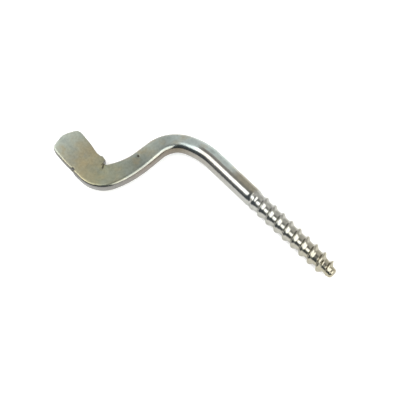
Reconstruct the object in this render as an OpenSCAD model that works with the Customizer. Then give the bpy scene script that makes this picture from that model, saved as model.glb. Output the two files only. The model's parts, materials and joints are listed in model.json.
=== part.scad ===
// Screw hook of the swan-neck pattern. One length of round steel wire carries a rolled thread,
// is bent twice in one plane, and is pressed flat from its first bend to its end.
// It lies on its side: +Z is up, square to the plane of the bends. The origin is on the screw
// axis where the thread begins, +X leads out of the wall and +Y is the way the neck leads off.

/* [Wire] */
// Diameter of the drawn wire
wire_d = 8; // [5:0.1:12]
// Plain shank between the thread and the first bend
shank_len = 22.4; // [12:0.1:60]

/* [Thread] */
// Length of the thread with its tip
thread_len = 45.2; // [20:0.1:80]
// Advance of the thread in one turn
thread_pitch = 4.57; // [2:0.01:6]
// Diameter over the crests
crest_d = 8.5; // [5:0.05:13]
// Diameter in the bottom of the first grooves
root_d = 7.1; // [3.5:0.05:11]
// Diameter in the bottom of the groove where the nose begins
tip_root_d = 6.3; // [3:0.05:10]
// Sharpness of the crest: a higher power gives a narrower ridge and a wider groove
crest_power = 1.3; // [0.8:0.1:3]
// Length in which the groove fades out towards the plain shank
runout_len = 3.4; // [1:0.1:10]
// Length in which the core narrows to the tip
nose_len = 10; // [4:0.1:20]
// Length of the plain nub at the tip
nub_len = 3.4; // [1:0.1:6]
// Diameter of the nub
nub_d = 4.7; // [1.5:0.1:7]
// Radius of the edge round the nub's end
nub_edge_r = 1.5; // [0.2:0.1:2]
// How far the nub stands off the axis, towards the neck, where the wire was cropped
nub_shift = 0.4; // [0:0.1:1]

/* [Bends] */
// Radius of the easy start of the first bend, to the middle of the wire
start_bend_r = 29.6; // [15:0.1:60]
// Turn of that easy start in degrees
start_bend_angle = 23.5; // [4:0.5:45]
// Radius of the first bend, to the middle of the wire
neck_bend_r = 13.3; // [8:0.1:40]
// Turn of the first bend in degrees
neck_bend_angle = 64; // [30:0.5:110]
// Straight run of the neck
neck_len = 7; // [2:0.1:50]
// Radius of the easy curve that leads into the hook
lead_r = 35; // [20:1:90]
// Turn of that easy curve in degrees
lead_angle = 24; // [2:1:40]
// Radius inside the tight hook bend
hook_inside_r = 1.3; // [0.6:0.1:12]
// Turn of the hook bend in degrees
hook_bend_angle = 68.5; // [45:0.5:110]

/* [Pressed flat] */
// Width of the wire at the top of the first bend
bend_w = 7.2; // [6:0.1:14]
// Thickness of the wire there
bend_t = 7; // [4:0.1:12]
// Width where the first bend ends
throat_w = 8.1; // [6:0.1:14]
// Thickness where the first bend ends
throat_t = 6.7; // [4:0.1:12]
// Width in the middle of the neck
neck_w = 8.5; // [6:0.1:14]
// Thickness in the middle of the neck
neck_t = 6.3; // [3:0.1:10]
// Width where the hook bend starts
lead_w = 10.1; // [6:0.1:15]
// Thickness where the hook bend starts
lead_t = 5.5; // [2.5:0.1:9]
// Width in the middle of the hook bend
hook_w = 10.8; // [6:0.1:16]
// Thickness in the middle of the hook bend
hook_t = 4.9; // [2:0.1:8]
// Width where the hook bend ends
heel_w = 12.1; // [7:0.1:17]
// Thickness of the heel, from the end of the hook bend to the step
heel_t = 4.4; // [2:0.1:8]
// Length of the heel
heel_len = 3.6; // [0.5:0.1:8]
// Width of the heel at the step
heel_end_w = 12.7; // [7:0.1:18]
// Length of the step from the heel down to the paddle
step_len = 1.8; // [0.5:0.1:6]
// Length of heel and paddle from the hook bend to the middle of the paddle's end
paddle_len = 20.5; // [12:0.1:40]
// Width of the paddle below the step
paddle_w = 12.3; // [7:0.1:18]
// Width of the paddle in its middle
belly_w = 13.3; // [7:0.1:20]
// Width of the paddle where it starts to draw in towards its end
shoulder_w = 13.5; // [7:0.1:20]
// Width of the paddle at its end
paddle_end_w = 12.6; // [7:0.1:20]
// Thickness of the paddle
paddle_t = 3.4; // [1.6:0.1:6]
// How far the middle of the paddle's end stands out past its corners
end_crown = 2.1; // [0.5:0.1:5]
// Roundness of that end: 1 is a point between straight sides, 2 is a round curve
crown_power = 1.3; // [1:0.05:2]
// Radius of the long edges at the top of the first bend
bend_edge_r = 2.1; // [0.6:0.1:3.5]
// Radius of the long edges where the first bend ends
throat_edge_r = 1.5; // [0.5:0.1:3]
// Radius of the long edges of the neck and heel
edge_r = 1.2; // [0.4:0.1:2]
// Radius of the long edges of the paddle
paddle_edge_r = 0.9; // [0.3:0.1:1.5]
// Radius of the edges round the paddle's end
end_r = 0.6; // [0.2:0.05:0.75]
// Length of the first bend, from its start, that the die leaves round
press_from = 7; // [2:0.1:20]
// Length in which the die presses the wire down
press_len = 10; // [3:0.1:18]

/* [Hidden] */
steel = [0.62, 0.63, 0.58];

// Points round a section of the formed wire and of the thread, and rings over their ends
section_points = 36;
thread_points = 16;
nub_rings = 5;
crown_rings = 4;

// The formed ends are a hair larger than the round bar, so that they close over its two ends
hair = 0.005;
overlap = 1.5;
bar_end = 0.5;
flat_grow = 1 / cos(180 / section_points);
thread_grow = 1 / cos(180 / thread_points);
formed_d = (wire_d + 2 * hair) * flat_grow;
sleeve_r = (wire_d / 2 + hair) * thread_grow;

// The path from the end of the plain shank: each stretch is its length and its turn
start_len = arc_length(start_bend_r, start_bend_angle);
bend_len = arc_length(neck_bend_r, neck_bend_angle);
lead_len = arc_length(lead_r, lead_angle);
hook_bend_r = hook_inside_r + hook_w / 2;
hook_len = arc_length(hook_bend_r, hook_bend_angle);
stretches = [
    [overlap, 0],
    [start_len, start_bend_angle],
    [bend_len, neck_bend_angle],
    [neck_len, 0],
    [lead_len, -lead_angle],
    [hook_len, -hook_bend_angle],
    [paddle_len, 0]
];
stretch_rings = [1, 8, 14, 3, 6, 12];

// Places along the path where the section changes
press_start = overlap + press_from;
press_end = press_start + press_len;
neck_start = overlap + start_len + bend_len;
hook_start = neck_start + neck_len + lead_len;
neck_middle = max((neck_start + hook_start) / 2, neck_start + 1);
hook_middle = hook_start + hook_len / 2;
hook_end = hook_start + hook_len;
heel_end = hook_end + heel_len;
step_end = heel_end + step_len;
belly = max(hook_end + 0.5 * paddle_len, step_end + 0.5);
shoulder = max(hook_end + 0.8 * paddle_len, belly + 0.5);
path_end = hook_end + paddle_len;
crown_start = path_end - end_crown - end_r;

widths = [
    [press_start, formed_d],
    [press_end, bend_w],
    [neck_start, throat_w],
    [neck_middle, neck_w],
    [hook_start, lead_w],
    [hook_middle, hook_w],
    [hook_end, heel_w],
    [heel_end, heel_end_w],
    [step_end, paddle_w],
    [belly, belly_w],
    [shoulder, shoulder_w],
    [path_end, paddle_end_w]
];
thicknesses = [
    [press_start, formed_d],
    [press_end, bend_t],
    [neck_start, throat_t],
    [neck_middle, neck_t],
    [hook_start, lead_t],
    [hook_middle, hook_t],
    [hook_end, heel_t],
    [heel_end, heel_t],
    [step_end, paddle_t]
];
edges = [
    [press_start, formed_d / 2],
    [press_end, bend_edge_r],
    [neck_start, throat_edge_r],
    [neck_middle, edge_r],
    [heel_end, edge_r],
    [step_end, paddle_edge_r]
];

function arc_length(radius, turn) = PI * radius * turn / 180;

// Rises smoothly from 0 to 1 between two places
function ease(from, to, s) =
    let (u = max(0, min(1, (s - from) / (to - from))))
    u * u * (3 - 2 * u);

// Moves a place [x, y, heading] forward along one stretch
function advance(at, length, turn) =
    let (chord = turn == 0 ? length : 2 * length * 180 / (PI * turn) * sin(turn / 2))
    [
        at.x + chord * cos(at.z + turn / 2),
        at.y + chord * sin(at.z + turn / 2),
        at.z + turn
    ];

// Starting place of every stretch, with the distance covered so far
starts = [
    for (
        i = 0, at = [shank_len - overlap, 0, 0], s = 0;
        i < len(stretches);
        at = advance(at, stretches[i][0], stretches[i][1]), s = s + stretches[i][0], i = i + 1
    )
        [at, s]
];

function place(i, share) = advance(starts[i][0], share * stretches[i][0], share * stretches[i][1]);

// Rounded rectangle of a pressed section as [across, up]; a full edge radius makes it a circle
function section(w, t, edge) = [
    for (i = [0 : section_points - 1])
        let (
            a = 360 * (i + 0.5) / section_points,
            r = min(edge, t / 2),
            across = w / 2 * cos(a),
            over = max(0, abs(across) - w / 2 + r)
        )
        [across, sign(sin(a)) * (t / 2 - r + sqrt(r * r - over * over))]
];

// Stands a section across the path; the crown lets its sides lag behind its middle
function stood(at, outline, w, crown) = [
    for (p = outline)
        let (lag = crown * pow(abs(2 * p.x / w), crown_power))
        [
            at.x - lag * cos(at.z) - p.x * sin(at.z),
            at.y - lag * sin(at.z) + p.x * cos(at.z),
            p.y
        ]
];

// Rings along the formed wire as stretch and share of it; they lie closer together at the step
paddle_shares = [
    each [for (k = [0 : 1]) k / 2 * heel_len],
    each [for (k = [0 : 3]) heel_len + k / 4 * step_len],
    each [for (k = [0 : 9]) heel_len + step_len + k / 10 * (paddle_len - end_r - heel_len - step_len)]
] / paddle_len;
ring_places = [
    each [
        for (i = [0 : len(stretch_rings) - 1], k = [0 : stretch_rings[i] - 1])
            [i, k / stretch_rings[i]]
    ],
    each [for (share = paddle_shares) [len(stretch_rings), share]]
];

// The crown grows along the paddle
formed_rings = [
    for (at = ring_places)
        let (
            s = starts[at[0]][1] + at[1] * stretches[at[0]][0],
            w = lookup(s, widths),
            t = lookup(s, thicknesses)
        )
        stood(place(at[0], at[1]), section(w, t, lookup(s, edges)), w,
            end_crown * ease(hook_end, crown_start, s))
];

// Rings that round over the paddle's end
end_place = place(len(stretches) - 1, 1 - end_r / paddle_len);
end_rings = [
    for (k = [0 : crown_rings])
        let (
            a = 90 * k / crown_rings,
            inset = end_r * (1 - cos(a)),
            w = paddle_end_w - 2 * inset,
            t = paddle_t - 2 * inset
        )
        stood(advance(end_place, end_r * sin(a), 0), section(w, t, paddle_edge_r), w, end_crown)
];

// Core and crest of the thread at a depth from the shank; both narrow towards the nub
function core_r(d) = lookup(d, [
    [0, root_d / 2],
    [thread_len - nose_len, tip_root_d / 2],
    [thread_len - nub_len, nub_d / 2]
]);

function crest_r(d) =
    crest_d / 2 - (crest_d - nub_d) / 2
        * ease(thread_len - 1.4 * nub_len, thread_len - 0.4 * nub_len, d);

// Radius of the thread at a depth and at an angle from its crest
function thread_r(d, angle) =
    core_r(d) + (crest_r(d) - core_r(d)) * pow(1 - abs(sin(angle / 2)), crest_power);

// The rounded edge of the nub
function nub_end(d) =
    let (u = max(0, d - thread_len + nub_edge_r) / nub_edge_r)
    1 - 2 * nub_edge_r / nub_d * (1 - sqrt(max(0, 1 - u * u)));

turn_step = thread_pitch / thread_points;
body_rings = floor((thread_len - nub_edge_r) / turn_step);
thread_depths = concat(
    [-overlap, 0],
    [for (k = [1 : body_rings]) k * turn_step],
    [for (k = [1 : nub_rings]) thread_len - nub_edge_r * cos(90 * k / nub_rings)]
);

// Rings along the thread, from inside the plain shank to the tip; the thread is right-handed
thread_rings = [
    for (d = thread_depths)
        let (
            fade = ease(0, runout_len, d),
            off_axis = nub_shift * ease(thread_len - 1.3 * nub_len, thread_len - 0.4 * nub_len, d)
        )
        [
            for (i = [0 : thread_points - 1])
                let (
                    a = 360 * (i + 0.5) / thread_points,
                    from_crest = 360 * (i / thread_points - d / thread_pitch),
                    r = (sleeve_r + (thread_r(d, from_crest) - sleeve_r) * fade) * nub_end(d)
                )
                [-d, off_axis - r * cos(a), r * sin(a)]
        ]
];

// Closes a list of rings into one solid
module skin(rings) {
    n = len(rings[0]);
    half = n / 2;
    last = (len(rings) - 1) * n;
    sides = [
        for (k = [0 : len(rings) - 2], i = [0 : n - 1])
            let (a = k * n + i, b = k * n + (i + 1) % n)
            each [[b, a, b + n], [a, a + n, b + n]]
    ];
    cap = [
        for (i = [0 : half - 2])
            each [[i, i + 1, n - 2 - i], [i, n - 2 - i, n - 1 - i]]
    ];
    far_cap = [for (f = cap) [last + f[2], last + f[1], last + f[0]]];
    polyhedron([for (ring = rings) each ring], concat(sides, cap, far_cap));
}

module round_bar() {
    translate([bar_end, 0, 0])
        rotate([0, 90, 0])
            cylinder(d = wire_d, h = shank_len - 2 * bar_end, $fn = 96);
}

module screw_hook() {
    color(steel)
        union() {
            round_bar();
            skin(thread_rings);
            skin(concat(formed_rings, end_rings));
        }
}

screw_hook();
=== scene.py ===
# %% [markdown]
# # Screw hook
# A wall hook of the swan-neck pattern. It is one length of round steel wire: a thread is rolled
# into one end, the other end is bent twice in one plane, and a die presses it flat from the first
# bend to the broad paddle at its end. It could be swept along a bent curve in one go, but then
# every dent and edge would have to be placed in the middle of a bend. Here it is made in the order
# of the workshop instead: the bar is shaped while it is straight, where a place is one plain
# number, and it is bent last. One unit is a millimetre until the end, as on a drawing.

import json
import math

import bmesh
import bpy
from mathutils import Matrix, Vector


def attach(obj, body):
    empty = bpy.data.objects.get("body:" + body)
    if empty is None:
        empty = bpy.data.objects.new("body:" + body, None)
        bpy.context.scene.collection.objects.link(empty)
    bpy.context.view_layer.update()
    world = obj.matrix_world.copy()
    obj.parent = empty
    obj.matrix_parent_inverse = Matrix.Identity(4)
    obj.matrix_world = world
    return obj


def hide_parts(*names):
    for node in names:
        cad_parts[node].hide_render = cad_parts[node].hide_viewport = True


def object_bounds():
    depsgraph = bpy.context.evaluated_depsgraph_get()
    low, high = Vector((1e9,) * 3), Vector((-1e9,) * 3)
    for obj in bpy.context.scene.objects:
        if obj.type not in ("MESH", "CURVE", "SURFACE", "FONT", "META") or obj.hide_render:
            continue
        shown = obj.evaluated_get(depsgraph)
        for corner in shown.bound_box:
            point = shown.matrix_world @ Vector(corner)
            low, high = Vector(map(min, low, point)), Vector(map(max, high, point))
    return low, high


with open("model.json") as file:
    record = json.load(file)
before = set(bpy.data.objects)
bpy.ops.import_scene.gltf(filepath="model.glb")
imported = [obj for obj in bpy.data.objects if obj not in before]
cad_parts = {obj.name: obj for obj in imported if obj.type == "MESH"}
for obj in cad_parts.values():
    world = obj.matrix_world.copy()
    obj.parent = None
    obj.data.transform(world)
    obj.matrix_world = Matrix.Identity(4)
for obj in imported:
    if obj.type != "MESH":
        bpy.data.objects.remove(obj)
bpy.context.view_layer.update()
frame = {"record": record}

MM = 0.001
mounts = {mount["name"]: mount["dims"] for mount in frame["record"]["mounts"]}
CREST_R = mounts["screw_thread"]["r_mm"]
THREAD_LEN = mounts["screw_thread"]["length_mm"]
WIRE_R = mounts["plain_shank"]["r_mm"]
print("wire radius", WIRE_R, "crest radius", CREST_R, "thread length", THREAD_LEN)

# %% [markdown]
# ## The rolled thread
# The thread is rolled, not cut: dies squeeze a narrow ridge up out of the wire and leave a wide
# round groove between its turns. The flank that faces the shank is the steeper one, as it carries
# the pull, and the ridge fades out into the shank. A helix swept by a small profile would need a
# boolean to join the bar. A ring with one ridge on it is simpler: extruded along the bar it makes
# a straight rib, and a twist of the whole bar winds that rib into a thread whose edges follow the
# crest.

# %% The first ring, and how rings and points are selected
AROUND = 48


def start_wire(name):
    """A new open ring of wire at the origin, square to X, in edit mode and selected."""
    bpy.ops.object.select_all(action="DESELECT")
    bpy.ops.mesh.primitive_circle_add(
        vertices=AROUND, radius=WIRE_R, location=(0, 0, 0), rotation=(0, math.radians(90), 0)
    )
    bpy.ops.object.transform_apply(location=True, rotation=True, scale=True)
    bpy.context.object.name = name
    bpy.ops.object.mode_set(mode="EDIT")
    bpy.ops.mesh.select_mode(type="VERT")
    bpy.ops.mesh.select_all(action="SELECT")
    return bpy.context.object


def select_points(piece, numbers):
    """Selects these points of the mesh that is being edited, and nothing else."""
    bpy.ops.mesh.select_all(action="DESELECT")
    mesh = bmesh.from_edit_mesh(piece.data)
    mesh.verts.ensure_lookup_table()
    for number in numbers:
        mesh.verts[number].select = True
    mesh.select_flush_mode()


def ring(number):
    """The points of one ring, counted from the first ring of the wire."""
    return range(number * AROUND, (number + 1) * AROUND)


def extrude_to(x_from, x_to):
    """Draws the selected ring out along the bar into a new ring."""
    bpy.ops.mesh.extrude_region_move(TRANSFORM_OT_translate={"value": (x_to - x_from, 0, 0)})


thread = start_wire("thread")
print("first ring:", len(thread.data.vertices), "points")

# %% Core, crest and nub of the thread at each depth
PITCH = 4.57
CORE_R, CORE_TIP_R, NUB_R = 3.55, 3.15, 2.35
NOSE_LEN, NUB_LEN, NUB_EDGE = 10, 3.4, 1.5
RUNOUT_FROM, RUNOUT_TO = -1, 4
SHANK_FLANK, TIP_FLANK = math.radians(95), math.radians(145)
CREST_SPARE = 0.04  # what the smoothing takes off the crest
CREST_LAST, CREST_GONE = 1.4, 0.4  # in lengths of the nub, before the tip


def ease(start, end, place):
    """Rises smoothly from 0 to 1 between two places."""
    u = min(1, max(0, (place - start) / (end - start)))
    return u * u * (3 - 2 * u)


def sized(table, place):
    """Reads a list of places and sizes, straight from each size to the next."""
    size = table[0][1]
    for (start, before), (end, after) in zip(table, table[1:]):
        size += (after - before) * min(1, max(0, (place - start) / (end - start)))
    return size


def thread_radius(depth, from_crest):
    """Radius of the thread at a depth from the shank and an angle from its crest."""
    core = sized(
        [(0, CORE_R), (THREAD_LEN - NOSE_LEN, CORE_TIP_R), (THREAD_LEN - NUB_LEN, NUB_R)], depth
    )
    spent = ease(THREAD_LEN - CREST_LAST * NUB_LEN, THREAD_LEN - CREST_GONE * NUB_LEN, depth)
    crest = CREST_R + CREST_SPARE - (CREST_R + CREST_SPARE - NUB_R) * spent
    reach = SHANK_FLANK if from_crest < 0 else TIP_FLANK
    flank = min(1, abs(from_crest) / reach) * math.pi
    radius = core + (crest - core) * (0.5 + 0.5 * math.cos(flank))
    faded = WIRE_R + (radius - WIRE_R) * ease(RUNOUT_FROM, RUNOUT_TO, depth)
    into_end = max(0, depth - THREAD_LEN + NUB_EDGE) / NUB_EDGE
    return faded * (1 - NUB_EDGE / NUB_R * (1 - math.sqrt(1 - min(1, into_end) ** 2)))


print("ridge", round(CREST_R - CORE_R, 2), "mm high, then", round(CREST_R - CORE_TIP_R, 2))

# %% The straight rib
RINGS_A_TURN = 16
CREST_POINT = AROUND // 2
WORTH_MOVING = 0.002  # points whose radius changes by a smaller share stay where they are
NUB_EDGE_RINGS = (0.85, 0.65, 0.45, 0.28, 0.13, 0.04, 0)

ring_step = PITCH / RINGS_A_TURN
depths = [ring_step * k for k in range(1, int((THREAD_LEN - NUB_EDGE) / ring_step) + 1)]
depths += [THREAD_LEN - NUB_EDGE * share for share in NUB_EDGE_RINGS]
shape = [WIRE_R] * AROUND
x = 0
for number, depth in enumerate(depths, 1):
    extrude_to(x, -depth)
    x = -depth
    for point in range(AROUND):
        radius = thread_radius(depth, 2 * math.pi * (point - CREST_POINT) / AROUND)
        share = radius / shape[point]
        if abs(share - 1) < WORTH_MOVING:
            continue
        select_points(thread, [number * AROUND + point])
        bpy.ops.transform.resize(value=(1, share, share), center_override=(x, 0, 0))
        shape[point] = radius
    select_points(thread, ring(number))
print("thread rings:", len(depths) + 1)

# %% The flat end of the nub
extrude_to(x, x)
bpy.ops.transform.resize(value=(1, 0.5, 0.5), center_override=(x, 0, 0))
extrude_to(x, x)
bpy.ops.mesh.merge(type="CENTER")
print("tip at x =", round(x, 2))

# %% The twist that winds the rib into a right-hand thread
bpy.ops.object.mode_set(mode="OBJECT")
twist = thread.modifiers.new("wind", "SIMPLE_DEFORM")
twist.deform_method = "TWIST"
twist.deform_axis = "X"
twist.angle = math.radians(360 * THREAD_LEN / PITCH)
bpy.ops.object.modifier_apply(modifier=twist.name)
for k in (16, 20, 24):
    crest = thread.data.vertices[k * AROUND + CREST_POINT].co
    angle = math.degrees(math.atan2(crest.z, crest.y))
    print("crest at x", round(crest.x, 2), "angle", round(angle, 1))

# %% Pushing the nub off the axis, where the wire was cropped
NUB_SHIFT = 0.4


def select_where(piece, test):
    """Selects the points of the edited mesh whose place passes a test, and counts them."""
    mesh = bmesh.from_edit_mesh(piece.data)
    numbers = [vert.index for vert in mesh.verts if test(vert.co)]
    select_points(piece, numbers)
    return len(numbers)


def push(by, reach, falloff="SMOOTH"):
    """Moves the selected points, and what lies within reach of them by less."""
    bpy.ops.transform.translate(
        value=by,
        use_proportional_edit=True,
        proportional_edit_falloff=falloff,
        proportional_size=reach,
    )


bpy.ops.object.mode_set(mode="EDIT")
count = select_where(thread, lambda p: p.x < NUB_LEN / 2 - THREAD_LEN)
push((0, NUB_SHIFT, 0), 1.5 * NUB_LEN)
bpy.ops.object.mode_set(mode="OBJECT")
print("nub pushed by", count, "points")

# %% [markdown]
# ## The bar that becomes shank, neck and paddle
# The rest of the wire starts as the same ring, drawn out the other way. Up to the first bend it
# stays round. From there the die squeezes it: the section gets lower, spreads to both sides and
# ends up as a flat bar with rounded edges, then as a thinner and broader paddle. Each new ring is
# extruded from the last one and its points are moved, four mirrored ones at a time, to the new
# section, so that the flats grow out of the round wire as they do in the die.

# %% Lengths along the bar
SHANK_LEN = 22.4
START_BEND_R, START_BEND_TURN = 29.6, 23.5
NECK_BEND_R, NECK_BEND_TURN = 13.3, 64
NECK_LEN = 7
LEAD_R, LEAD_TURN = 35, 24
HOOK_R, HOOK_TURN = 6.7, 68.5
HEEL_LEN, STEP_LEN, PADDLE_LEN = 3.6, 1.8, 20.5
PRESS_FROM, PRESS_LEN = 7, 10
END_CROWN = 2.1

stretches = [
    (SHANK_LEN, 0),
    (math.radians(START_BEND_TURN) * START_BEND_R, START_BEND_TURN),
    (math.radians(NECK_BEND_TURN) * NECK_BEND_R, NECK_BEND_TURN),
    (NECK_LEN, 0),
    (math.radians(LEAD_TURN) * LEAD_R, -LEAD_TURN),
    (math.radians(HOOK_TURN) * HOOK_R, -HOOK_TURN),
    (PADDLE_LEN, 0),
]
ends = [sum(length for length, _ in stretches[: i + 1]) for i in range(len(stretches))]
bend_start, _, neck_start, lead_start, hook_start, hook_end, bar_end = ends
print("places along the bar:", [round(place, 2) for place in ends])

# %% Width, height and edge radius at each place
press_start = bend_start + PRESS_FROM
press_end = press_start + PRESS_LEN
neck_middle = (neck_start + hook_start) / 2
hook_middle = (hook_start + hook_end) / 2
heel_end = hook_end + HEEL_LEN
step_end = heel_end + STEP_LEN
belly, shoulder = hook_end + 0.5 * PADDLE_LEN, hook_end + 0.8 * PADDLE_LEN
SIZES = [
    (press_start, 2 * WIRE_R, 2 * WIRE_R, WIRE_R, 0),
    (press_end, 7.2, 7.0, 2.7, 0.25),
    (neck_start, 8.1, 6.7, 2.1, 0.25),
    (neck_middle, 8.5, 6.3, 1.9, 0.2),
    (hook_start, 10.1, 5.5, 1.6, 0.15),
    (hook_middle, 10.8, 4.9, 1.1, 0.1),
    (hook_end, 12.1, 4.4, 0.8, 0.1),
    (heel_end, 12.7, 4.4, 0.7, 0.1),
    (step_end, 12.3, 3.4, 0.5, 0.1),
    (belly, 13.3, 3.4, 0.5, 0.1),
    (shoulder, 13.5, 3.4, 0.5, 0.1),
    (bar_end, 12.6, 3.4, 0.5, 0.1),
]


def size_at(place):
    """Width, height, edge radius and camber of the pressed wire at a place."""
    return [sized([(row[0], row[column]) for row in SIZES], place) for column in (1, 2, 3, 4)]


print("neck in the middle:", size_at(neck_middle))

# %% A pressed section as points round a ring
QUARTER = AROUND // 4
EDGE_SHARE = 2
AT_ZERO, UNMOVED = 1e-6, 1e-5


def quarter_section(width, height, edge, camber=0):
    """A quarter of a rounded rectangle, from the middle of its side to the middle of its top.

    The rounded edge gets a larger share of the points than the flats do, and the camber lets the
    top fall off from its middle to the edge.
    """
    edge = min(edge, height / 2, width / 2)
    side, top = height / 2 - edge, width / 2 - edge
    corner = EDGE_SHARE * edge * math.pi / 2
    points = []
    for i in range(QUARTER + 1):
        along = (side + corner + top) * i / QUARTER
        if along <= side:
            y, z = width / 2, along
        elif along <= side + corner:
            angle = (along - side) / corner * math.pi / 2
            y, z = top + edge * math.cos(angle), side + edge * math.sin(angle)
        else:
            y, z = top - (along - side - corner), height / 2
        points.append((y, z * (1 - 2 * camber / height * (2 * y / width) ** 2)))
    return points


def form_ring(piece, number, x, before, after):
    """Moves a ring's points from one section to another, four mirrored points at a time."""
    for i, (old, new) in enumerate(zip(before, after)):
        share = [n / o if o > AT_ZERO else 1 for o, n in zip(old, new)]
        if max(abs(s - 1) for s in share) < UNMOVED:
            continue
        points = {i, 2 * QUARTER - i, 2 * QUARTER + i, (4 * QUARTER - i) % AROUND}
        select_points(piece, [number * AROUND + point for point in points])
        bpy.ops.transform.resize(value=(1, *share), center_override=(x, 0, 0))
    select_points(piece, ring(number))


round_wire = quarter_section(2 * WIRE_R, 2 * WIRE_R, WIRE_R)
print("points in a quarter:", len(round_wire))

# %% The rings of the bar
STRETCH_RINGS = (6, 12, 18, 6, 10, 22)
PADDLE_RINGS = [0.7, 1.4, 2.1, 2.7, 3.2, 3.6, 3.9, 4.2, 4.5, 4.8, 5.1, 5.4, 5.8]
PADDLE_RINGS += [6.8 + 1.3 * k for k in range(9)]

places = []
for i, count in enumerate(STRETCH_RINGS):
    places += [ends[i] - stretches[i][0] * (1 - k / count) for k in range(1, count + 1)]
places += [hook_end + further for further in PADDLE_RINGS]

bar = start_wire("bar")
x, section, rings = 0, round_wire, 0
for place in places:
    extrude_to(x, place)
    rings += 1
    new_section = quarter_section(*size_at(place))
    form_ring(bar, rings, place, section, new_section)
    x, section = place, new_section
print("bar rings:", rings + 1, "last at", round(x, 2))

# %% The rounded edge round the paddle's end
END_R = 0.6
END_STEPS = 4
END_WELD = 0.001

square_end = bar_end - END_CROWN
end_w, end_h, end_edge, end_camber = size_at(bar_end)
for k in range(END_STEPS + 1):
    angle = math.pi / 2 * k / END_STEPS
    place = square_end - END_R * (1 - math.sin(angle))
    inset = 2 * END_R * (1 - math.cos(angle))
    extrude_to(x, place)
    rings += 1
    new_section = quarter_section(end_w - inset, end_h - inset, end_edge, end_camber)
    form_ring(bar, rings, place, section, new_section)
    x, section = place, new_section
extrude_to(x, x)
bpy.ops.transform.resize(value=(1, 1, 0), center_override=(x, 0, 0))
bpy.ops.mesh.select_all(action="SELECT")
bpy.ops.mesh.remove_doubles(threshold=END_WELD)
bpy.ops.object.mode_set(mode="OBJECT")
print("bar closed at its end:", len(bar.data.vertices), "points")

# %% [markdown]
# ## The crown of the paddle
# The end of the paddle isn't square: its middle stands out in a blunt point. A bevel would leave
# facets, so the middle of the end is pulled forward with proportional editing, half with a straight
# fall-off for the point and half with a round one for the curve.

# %% Pulling the middle of the end forward
bpy.context.view_layer.objects.active = bar
bpy.ops.object.mode_set(mode="EDIT")
count = select_where(bar, lambda p: p.x > square_end - 0.01 and abs(p.y) < 0.1)
for falloff in ("LINEAR", "INVERSE_SQUARE"):
    push((END_CROWN / 2, 0, 0), end_w / 2, falloff)
bpy.ops.object.mode_set(mode="OBJECT")
print("crown pulled by", count, "points to", round(max(v.co.x for v in bar.data.vertices), 2))

# %% Smoothing both lengths of wire
def smooth(piece, levels):
    """Rounds a piece off with a Subdivision Surface modifier and applies it."""
    bpy.context.view_layer.objects.active = piece
    modifier = piece.modifiers.new("smooth", "SUBSURF")
    modifier.levels = modifier.render_levels = levels
    bpy.ops.object.modifier_apply(modifier=modifier.name)
    print(piece.name, "has", len(piece.data.polygons), "faces")


smooth(thread, 1)
smooth(bar, 1)

# %% [markdown]
# ## Marks of the press
# The die and the bending pins leave marks that the drawing doesn't have. The steel on the inside
# of the tight bend has nowhere to go, so it folds into a crease and stands out as a small ear on
# the edge of the heel. The die has nicked the outer edge where it steps down, and there is a pit in
# the neck. A sculpting brush could do this; here a few points are selected by their place on the
# straight bar and pushed with proportional editing, which can be repeated exactly.

# %% Ear, crease, nick and pit
bpy.ops.object.select_all(action="DESELECT")
bpy.context.view_layer.objects.active = bar
bpy.ops.object.mode_set(mode="EDIT")
# Each mark: its limits in x, y and z on the straight bar, its push, and how far that reaches.
marks = {
    "ear": ((hook_end + 0.6, hook_end + 2.4), (-7, -5.6), (-9, 9), (-0.2, -0.8, 0), 1.1),
    "crease": ((hook_end - 4.3, hook_end - 3.7), (-5.2, -3.0), (0, 9), (0, 0, -0.45), 0.6),
    "fold": ((hook_end - 2.5, hook_end - 1.7), (-6, -4.4), (0, 9), (0, 0, -0.35), 0.7),
    "nick": ((step_end - 0.4, step_end + 0.4), (5.7, 7), (0, 9), (0, -0.5, -0.3), 0.7),
    "pit": ((lead_start + 0.3, lead_start + 0.9), (-1.9, -1.1), (0, 9), (0, 0, -0.4), 0.6),
}
for name, (at_x, at_y, at_z, by, reach) in marks.items():
    limits = (at_x, at_y, at_z)
    count = select_where(bar, lambda p: all(low < c < high for c, (low, high) in zip(p, limits)))
    push(by, reach)
    print(name, "pushed by", count, "points")
bpy.ops.object.mode_set(mode="OBJECT")

# %% Keeping each point's place on the straight bar for the finish
def keep_places(piece):
    """Stores where each point lies on the straight wire, in millimetres."""
    layer = piece.data.attributes.new("straight", "FLOAT_VECTOR", "POINT")
    for vertex in piece.data.vertices:
        layer.data[vertex.index].vector = vertex.co


keep_places(thread)
keep_places(bar)
print("wire from", -THREAD_LEN, "to", round(bar_end, 1), "mm")

# %% [markdown]
# ## The bends
# The wire is bent cold round pins, so its middle line is made of straight runs and arcs. The same
# line is drawn here as a poly curve, and a Curve modifier lays the straight bar along it.

# %% The middle line of the wire
LINE_STEP = 0.25

line_points = [(0.0, 0.0)]
heading = 0.0
for length, turn in stretches:
    steps = math.ceil(length / LINE_STEP)
    for _ in range(steps):
        heading += math.radians(turn) / steps / 2
        px, py = line_points[-1]
        step = length / steps
        line_points.append((px + step * math.cos(heading), py + step * math.sin(heading)))
        heading += math.radians(turn) / steps / 2
line = bpy.data.curves.new("middle line", "CURVE")
line.dimensions = "3D"
spline = line.splines.new("POLY")
spline.points.add(len(line_points) - 1)
for point, (px, py) in zip(spline.points, line_points):
    point.co = (px, py, 0, 1)
line_object = bpy.data.objects.new("middle line", line)
bpy.context.collection.objects.link(line_object)
print("middle line ends at", [round(value, 2) for value in line_points[-1]])

# %% Bending the bar and joining the thread to it
JOINT_WELD = 0.005

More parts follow.
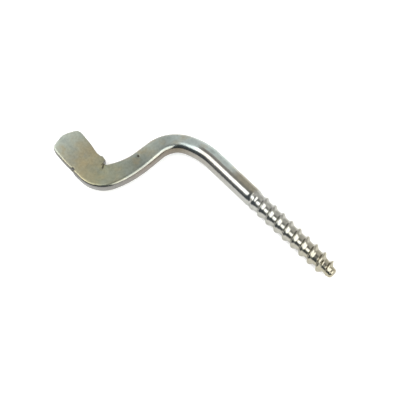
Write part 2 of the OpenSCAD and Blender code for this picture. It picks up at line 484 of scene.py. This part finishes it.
bpy.ops.object.select_all(action="DESELECT")
bar.select_set(True)
bpy.context.view_layer.objects.active = bar
bend = bar.modifiers.new("bend", "CURVE")
bend.object = line_object
bend.deform_axis = "POS_X"
bpy.ops.object.modifier_apply(modifier=bend.name)
bpy.data.objects.remove(line_object)

thread.select_set(True)
bpy.ops.object.join()
hook = bar
hook.name = hook.data.name = "hook_steel"
bpy.ops.object.mode_set(mode="EDIT")
bpy.ops.mesh.select_all(action="SELECT")
bpy.ops.mesh.remove_doubles(threshold=JOINT_WELD)
bpy.ops.mesh.normals_make_consistent(inside=False)
bpy.ops.transform.resize(value=(MM, MM, MM), center_override=(0, 0, 0))
bpy.ops.object.mode_set(mode="OBJECT")
bpy.ops.object.shade_smooth()
loose = bmesh.new()
loose.from_mesh(hook.data)
print("open edges:", sum(not edge.is_manifold for edge in loose.edges), "volume mm3:",
      round(loose.calc_volume(signed=True) / MM**3))
loose.free()

# %% [markdown]
# ## Zinc-plated steel
# The wire is zinc-plated and passivated. The plating is thin, so it shows what lies under it: the
# drawn shank is smooth and mirrors the lamps, the thread is burnished by the rolling dies, and the
# faces that the die pressed are matt and mottled with olive, straw and blue-grey. Three materials
# with hard borders would be easy, but on the real hook one finish runs into the next. So one
# material covers the hook, and an attribute on the mesh says how far each point has been pressed.
# On the bend and the neck that follows from how flat the surface lies. On the shank a narrow band
# on its back, which ends before the thread, was rubbed satin by the die, and is painted paler as
# well: the paler tint is a painted reflection.

# %% How far each point has been pressed by the die, with the painted sheen on the shank's back
FLAT_FROM = 0.6
PRESS_FADE = 3
# The band on the back of the shank: satin from the die's rub, and a paler tint that is a painted
# reflection.
RUB_SHEEN_START, RUB_SHEEN_FULL = 10, 15
RUB_SHEEN_EDGE, RUB_SHEEN_CORE = 0.76, 0.9
BACK_Y, BACK_Z = -0.62, 0.79  # the way that the rubbed band faces, on the straight wire

straight_places = [item.vector.copy() for item in hook.data.attributes["straight"].data]
layer = hook.data.attributes.new("pressed", "FLOAT", "POINT")
for vertex, place in zip(hook.data.vertices, straight_places):
    flat = max(0, abs(vertex.normal.z) - FLAT_FROM) / (1 - FLAT_FROM)
    flat *= ease(press_start - PRESS_FADE, press_start + PRESS_FADE, place.x)
    toward_back = (BACK_Z * abs(place.z) + BACK_Y * place.y) / WIRE_R
    rub_and_sheen = ease(RUB_SHEEN_EDGE, RUB_SHEEN_CORE, toward_back)
    rub_and_sheen *= ease(RUB_SHEEN_START, RUB_SHEEN_FULL, place.x) * (1 - ease(press_start, press_end, place.x))
    layer.data[vertex.index].value = max(flat, rub_and_sheen)
print("points pressed by more than half:", sum(item.value > 0.5 for item in layer.data))

# %% Colours, and one function that adds a node
def linear(colour):
    """An sRGB hex colour as linear red, green, blue and alpha."""
    parts = [int(colour[i : i + 2], 16) / 255 for i in (1, 3, 5)]
    return [p / 12.92 if p <= 0.04045 else ((p + 0.055) / 1.055) ** 2.4 for p in parts] + [1]


def add(tree, kind, inputs, out=0, stops=(), **settings):
    """Adds a node with its settings, inputs and colour stops, and returns one of its outputs."""
    node = tree.nodes.new(kind)
    for name, value in settings.items():
        setattr(node, name, value)
    for name, value in inputs.items():
        if isinstance(value, bpy.types.NodeSocket):
            tree.links.new(value, node.inputs[name])
        else:
            node.inputs[name].default_value = value
    if stops:
        elements = node.color_ramp.elements
        elements[0].position, elements[1].position = stops[0][0], stops[-1][0]
        for place, _ in stops[1:-1]:
            elements.new(place)
        for element, (_, colour) in zip(elements, stops):
            element.color = linear(colour)
    return node.outputs[out]


zinc = bpy.data.materials.new("zinc_plated_steel")
zinc.use_nodes = True
tree = zinc.node_tree
shader = tree.nodes["Principled BSDF"]
shader.inputs["Metallic"].default_value = 1
hook.data.materials.clear()
hook.data.materials.append(zinc)
print("material:", zinc.name)

# %% [markdown]
# ### Where a point lies
# Every pattern reads the place on the straight wire, in millimetres, which was kept before the
# bends. Object coordinates would do for the mottling, but the tints change along the wire, and
# round a bend only the kept place follows it. Some inputs are called by their number: Map Range has
# its value in 0, its limits in 1 and 2 and the limits of its result in 3 and 4. Mix has its share
# in 0 and its two colours in 6 and 7, or its two values in 2 and 3.

# %% Places along and across the wire, and what the die has pressed
straight = add(tree, "ShaderNodeAttribute", {}, "Vector", attribute_name="straight")
along = add(tree, "ShaderNodeSeparateXYZ", {0: straight}, "X")
across = add(tree, "ShaderNodeSeparateXYZ", {0: straight}, "Y")
die = add(tree, "ShaderNodeAttribute", {}, "Fac", attribute_name="pressed")
print("nodes:", len(tree.nodes))

# %% [markdown]
# ### The pressed faces
# The passivation is uneven where the steel was worked most: blue-grey at the first bend, olive in
# the hook bend, straw at the heel, and grey-green at the paddle's end. A ramp along the wire gives
# these zones, and clouds of about 4.5 mm break them up. The back edge of the wire up to the neck is
# painted paler, a painted reflection, so a dull face lies between two bright edges.

# %% The tint of the pressed faces
CLOUD_SIZE = 4.5

from_bend = add(tree, "ShaderNodeMapRange", {0: along, 1: press_start, 2: bar_end})
zones = add(tree, "ShaderNodeValToRGB", {0: from_bend}, stops=[
    (0.0, "#ADB6B3"), (0.14, "#A6AFAC"), (0.22, "#929993"), (0.31, "#9DA399"), (0.41, "#7D8279"),
    (0.55, "#8C8F7E"), (0.65, "#878872"), (0.74, "#95927B"), (0.83, "#9A937A"), (0.92, "#A1A699"),
    (1.0, "#B3BAB0"),
])
# Painted reflection: the back edge is mixed towards a pale grey.
on_neck = add(tree, "ShaderNodeMapRange", {0: along, 1: hook_start, 2: lead_start, 4: 0.5})
on_back = add(tree, "ShaderNodeMapRange", {0: across, 1: -1.5, 2: -3.8})
painted_back_sheen = add(tree, "ShaderNodeMath", {0: on_neck, 1: on_back}, operation="MULTIPLY")
zones = add(tree, "ShaderNodeMix", {0: painted_back_sheen, 6: zones, 7: linear("#B0B8B2")}, 2, data_type="RGBA")

clouds = add(tree, "ShaderNodeTexNoise", {"Vector": straight, "Scale": 1 / CLOUD_SIZE, "Detail": 3})
straw = add(tree, "ShaderNodeMapRange", {0: clouds, 1: 0.5, 2: 0.72, 4: 0.5})
flats = add(tree, "ShaderNodeMix", {0: straw, 6: zones, 7: linear("#A09270")}, 2, data_type="RGBA")
blue = add(tree, "ShaderNodeMapRange", {0: clouds, 1: 0.48, 2: 0.30, 4: 0.4})
flats = add(tree, "ShaderNodeMix", {0: blue, 6: flats, 7: linear("#87918D")}, 2, data_type="RGBA")
print("nodes:", len(tree.nodes))

# %% [markdown]
# ### The round wire and the thread
# The drawn wire keeps a neutral grey. Round the first bend it turns darker and browner, a painted
# shade for the dark that the hollow inside of the bend mirrors, and towards the tip it is
# straw-coloured, where the passivation stood in the grooves. The back of the shank next to the
# thread is tinted a darker brown. The pit in the neck is painted dark, a painted shade in the
# hollow, and a fine grain keeps the plating from looking like plastic.

# %% The tint of the round wire and of the thread
BACK_TINT_END, BACK_TINT_FADE = 12, 3
PIT = (lead_start + 0.6, -1.5, 2.9)
GRAIN_SIZE = 0.9

whole = add(tree, "ShaderNodeMapRange", {0: along, 1: -THREAD_LEN, 2: bar_end})
# Painted shade: the sides turn darker and browner round the first bend, at press_end.
tints = [
    (-THREAD_LEN, "#9C9683"), (-0.4 * THREAD_LEN, "#9B9A92"), (0, "#A0A09B"),
    (press_start, "#908D86"), (press_end, "#746D5F"), (lead_start, "#7E766D"),
    (hook_start, "#7A7975"), (hook_end, "#757472"), (step_end, "#6E6C68"), (bar_end, "#6E6C68"),
]
shares = [((at + THREAD_LEN) / (THREAD_LEN + bar_end), tint) for at, tint in tints]
wire = add(tree, "ShaderNodeValToRGB", {0: whole}, stops=shares)

# The back of the shank next to the thread is tinted a darker brown.
back_tint_span = {0: along, 1: BACK_TINT_END + BACK_TINT_FADE, 2: BACK_TINT_END - BACK_TINT_FADE}
back_tint = add(tree, "ShaderNodeMapRange", back_tint_span)
on_shank = add(tree, "ShaderNodeMapRange", {0: along, 1: -1, 2: 1})
on_back = add(tree, "ShaderNodeMapRange", {0: across, 1: 1.2, 2: -0.3})
back_tint = add(tree, "ShaderNodeMath", {0: back_tint, 1: on_shank}, operation="MULTIPLY")
back_tint = add(tree, "ShaderNodeMath", {0: back_tint, 1: on_back}, operation="MULTIPLY")
wire = add(tree, "ShaderNodeMix", {0: back_tint, 6: wire, 7: linear("#8F8B7D")}, 2, data_type="RGBA")

faces = add(tree, "ShaderNodeMapRange", {0: die, 2: 0.8})
colour = add(tree, "ShaderNodeMix", {0: faces, 6: wire, 7: flats}, 2, data_type="RGBA")
# Painted shade: the pit in the neck is darkened towards a dark brown.
from_pit = add(tree, "ShaderNodeVectorMath", {0: straight, 1: PIT}, "Value", operation="DISTANCE")
pit_shade = add(tree, "ShaderNodeMapRange", {0: from_pit, 1: 0.8, 2: 0.3, 4: 0.9})
colour = add(tree, "ShaderNodeMix", {0: pit_shade, 6: colour, 7: linear("#3A352C")}, 2, data_type="RGBA")
grain = add(tree, "ShaderNodeTexNoise", {"Vector": straight, "Scale": 1 / GRAIN_SIZE, "Detail": 4})
grain = add(tree, "ShaderNodeMapRange", {0: grain, 1: 0.3, 2: 0.7, 3: 0.88, 4: 1.10})
colour = add(
    tree, "ShaderNodeMix", {0: 1.0, 6: colour, 7: grain}, 2, data_type="RGBA", blend_type="MULTIPLY"
)
tree.links.new(colour, shader.inputs["Base Color"])
print("nodes:", len(tree.nodes))

# %% [markdown]
# ### Gloss
# Drawing leaves the wire almost a mirror, with fine lines along it, and rolling burnishes the
# thread. The die leaves the flats and the paddle's rim satin. Shallow dents of 1.6 mm stir the
# reflections, as the handled plating does. The lines are drawn coarser than they are, or they
# wouldn't show.

# %% Roughness, drawing lines and dents
LINE_WIDTH, DENT_SIZE, DENT_DEPTH = 0.5, 1.6, 0.08
BRIGHT, RIM, SATIN = 0.17, 0.48, 0.40
RIM_FADE = 2

stretched = add(
    tree, "ShaderNodeVectorMath", {0: straight, 1: (0.04, 1, 1)}, "Vector", operation="MULTIPLY"
)
lines = add(tree, "ShaderNodeTexNoise", {"Vector": stretched, "Scale": 1 / LINE_WIDTH, "Detail": 2})
lines = add(tree, "ShaderNodeMapRange", {0: lines, 1: 0.3, 2: 0.7, 3: -0.03, 4: 0.05})
rim = {0: along, 1: hook_end - RIM_FADE, 2: hook_end + RIM_FADE, 3: BRIGHT, 4: RIM}
bright = add(tree, "ShaderNodeMapRange", rim)
satin = add(tree, "ShaderNodeMapRange", {0: die, 1: 0.5, 2: 0.95})
gloss = add(tree, "ShaderNodeMix", {0: satin, 2: bright, 3: SATIN}, data_type="FLOAT")
gloss = add(tree, "ShaderNodeMath", {0: gloss, 1: lines}, operation="ADD")
tree.links.new(gloss, shader.inputs["Roughness"])
dents = add(tree, "ShaderNodeTexNoise", {"Vector": straight, "Scale": 1 / DENT_SIZE, "Detail": 3})
bump = {"Strength": 0.25, "Distance": DENT_DEPTH * MM, "Height": dents}
tree.links.new(add(tree, "ShaderNodeBump", bump), shader.inputs["Normal"])
print("nodes:", len(tree.nodes))

# %% Handing the hook to the frame
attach(hook, "root")
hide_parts("screw_hook")
print("triangles:", sum(len(face.vertices) - 2 for face in hook.data.polygons))

# %% [markdown]
# ## Camera
# The hook lies on its side and is seen from well above, from beyond its neck, so the thread points
# to the lower right. A long lens a good way off keeps its straight runs free of distortion.

# %% Camera
AZIMUTH, ELEVATION = math.radians(226.26), math.radians(67)
CAMERA_AWAY = 450
AIM_RIGHT, AIM_UP = -17.12, -5.05
LENS, SENSOR = 96.4, 36

back = Vector((
    math.sin(AZIMUTH) * math.cos(ELEVATION),
    -math.cos(AZIMUTH) * math.cos(ELEVATION),
    math.sin(ELEVATION),
))
overhead = Vector((0, 0, 1))
right = overhead.cross(back).normalized()
up = back.cross(right)
aim = (AIM_RIGHT * right + AIM_UP * up) * MM
camera_data = bpy.data.cameras.new("camera")
camera_data.lens = LENS
camera_data.sensor_width = SENSOR
camera_data.clip_start = 0.01
camera = bpy.data.objects.new("camera", camera_data)
bpy.context.collection.objects.link(camera)
camera.location = aim + CAMERA_AWAY * MM * back
camera.rotation_euler = back.to_track_quat("Z", "Y").to_euler()
bpy.context.scene.camera = camera
bpy.context.scene.view_settings.view_transform = "Standard"
print("camera at", [round(value, 3) for value in camera.location])

# %% [markdown]
# ## Floor
# White paper touches the hook's underside, where the paddle is thinner than the neck and stands
# clear of it. The paper glows a little for the camera and for reflections, so it stays white round
# the hook and still holds its soft shadow.

# %% Floor
FLOOR_SIZE = 4
GLOW = 0.42

low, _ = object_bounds()
bpy.ops.object.select_all(action="DESELECT")
bpy.ops.mesh.primitive_plane_add(size=FLOOR_SIZE, location=(0, 0, low[2]))
floor = bpy.context.object
floor.name = "floor"
paper = bpy.data.materials.new("white_paper")
paper.use_nodes = True
tree = paper.node_tree
sheet = tree.nodes["Principled BSDF"]
sheet.inputs["Base Color"].default_value = linear("#EEEEEC")
sheet.inputs["Roughness"].default_value = 0.9
sheet.inputs["Emission Color"].default_value = (1, 1, 1, 1)
camera_ray, glossy_ray, clear_ray = (
    add(tree, "ShaderNodeLightPath", {}, name)
    for name in ("Is Camera Ray", "Is Glossy Ray", "Is Transmission Ray")
)
seen = add(tree, "ShaderNodeMath", {0: camera_ray, 1: glossy_ray}, operation="ADD")
seen = add(tree, "ShaderNodeMath", {0: seen, 1: clear_ray}, operation="ADD", use_clamp=True)
glow = add(tree, "ShaderNodeMath", {0: seen, 1: GLOW}, operation="MULTIPLY")
tree.links.new(glow, sheet.inputs["Emission Strength"])
floor.data.materials.append(paper)
print("floor at z =", round(low[2] / MM, 2), "mm")

# %% [markdown]
# ## Studio
# Bright metal shows the room more than itself, so the room is what makes it look like metal. It is
# white all round and greyer overhead, which is what the flats mirror. It is dark behind the camera,
# which draws the dark lines under the hook bend and the first bend. A strip lamp lies along the
# screw and gives the shank and the thread their long white streak. A softbox on the right gives the
# neck its bright lower edge. Plain white light from everywhere would make the hook flat.

# %% The room
toward = Vector((back.x, back.y, 0)).normalized()
world = bpy.data.worlds.new("studio")
bpy.context.scene.world = world
world.use_nodes = True
tree = world.node_tree
directions = add(tree, "ShaderNodeTexCoord", {}, "Generated")
height = add(tree, "ShaderNodeSeparateXYZ", {0: directions}, "Z")
overhead_tints = [(0.85, "#FFFEFC"), (0.985, "#A0A1A2")]
ceiling = add(tree, "ShaderNodeValToRGB", {0: height}, stops=overhead_tints)
facing = add(
    tree, "ShaderNodeVectorMath", {0: directions, 1: toward}, "Value", operation="DOT_PRODUCT"
)
shade = add(tree, "ShaderNodeValToRGB", {0: facing}, stops=[(0.1, "#FFFFFF"), (0.45, "#69727A")])
room = add(
    tree, "ShaderNodeMix", {0: 1.0, 6: ceiling, 7: shade}, 2,
    data_type="RGBA", blend_type="MULTIPLY",
)
tree.links.new(room, tree.nodes["Background"].inputs["Color"])
print("room nodes:", len(tree.nodes))

# %% Strip lamp and softbox
def softbox(name, direction, distance, line, slide, length, width, radiance):
    """A lamp that lies along a line, slid along it, and is as bright as its radiance says."""
    lamp = bpy.data.lights.new(name, "AREA")
    lamp.shape = "RECTANGLE"
    lamp.size, lamp.size_y = length, width
    lamp.energy = radiance * math.pi * length * width
    holder = bpy.data.objects.new(name, lamp)
    bpy.context.collection.objects.link(holder)
    outward = (direction[0] * right + direction[1] * toward + direction[2] * overhead).normalized()
    sideways = outward.cross(line).normalized()
    lengthwise = sideways.cross(outward)
    holder.location = aim + distance * outward + slide * lengthwise
    holder.rotation_euler = Matrix((lengthwise, sideways, outward)).transposed().to_euler()
    print(name, "at", [round(value, 2) for value in holder.location], round(lamp.energy, 2), "W")


screw_line = Vector((1, 0, 0))
softbox(
    "strip lamp", (-0.33, 0.314, 0.89), distance=0.6,
    line=screw_line, slide=0.45, length=0.90, width=0.37, radiance=3.4,
)
softbox(
    "right softbox", (0.616, 0.517, 0.595), distance=0.6,
    line=overhead, slide=0, length=0.5, width=0.56, radiance=3.6,
)
